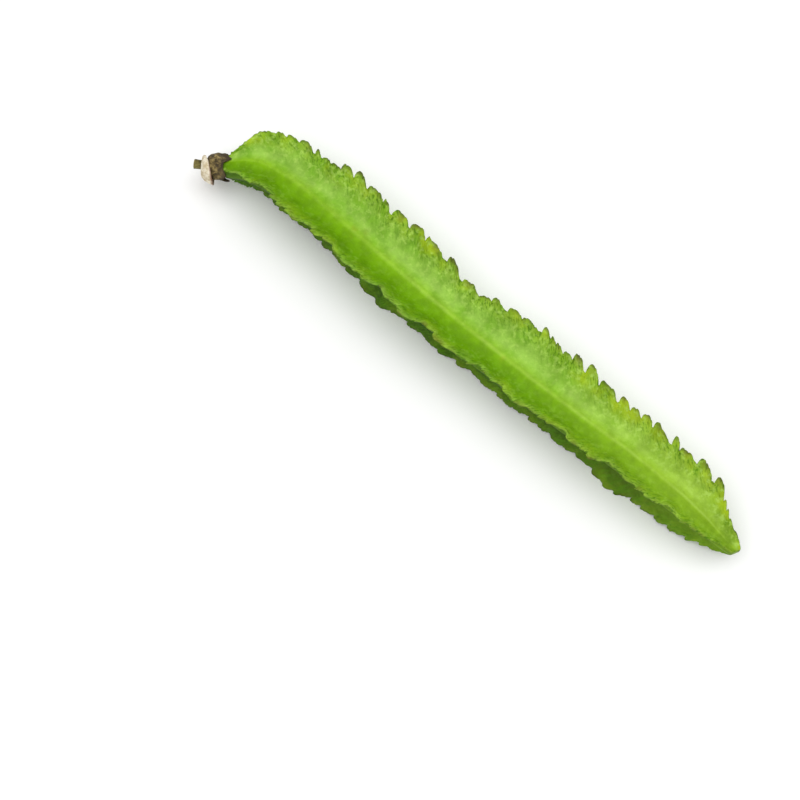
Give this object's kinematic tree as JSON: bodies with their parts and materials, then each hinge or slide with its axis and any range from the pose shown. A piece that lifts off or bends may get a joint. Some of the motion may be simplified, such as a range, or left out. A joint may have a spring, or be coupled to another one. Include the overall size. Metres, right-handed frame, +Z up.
{
  "type": "winged bean",
  "caption": "Fresh green winged bean pod lying down: a slender square pod with a frilled, toothed wing along each corner, a blunt beak, a dried brown calyx and a stalk stub.",
  "frame": {"origin": "centre of the bounding box's bottom face, on the surface that the pod lies on", "axes": "+X along the pod from the stalk to the beak, +Z up, +Y towards the outside of the pod's bow"},
  "size_m": [0.2222, 0.0328, 0.0233],
  "materials": {
    "pod_skin": "fresh green skin with a soft sheen",
    "dried_calyx": "dried, wrinkled, mottled olive brown",
    "papery_bract": "thin pale papery bract with a brown edge",
    "stalk_bark": "olive brown stalk with a pale cut end"
  },
  "bodies": {
    "root": {"pod": "pod_skin", "calyx": "dried_calyx", "bract": "papery_bract", "stalk": "stalk_bark"}
  },
  "joints": []
}
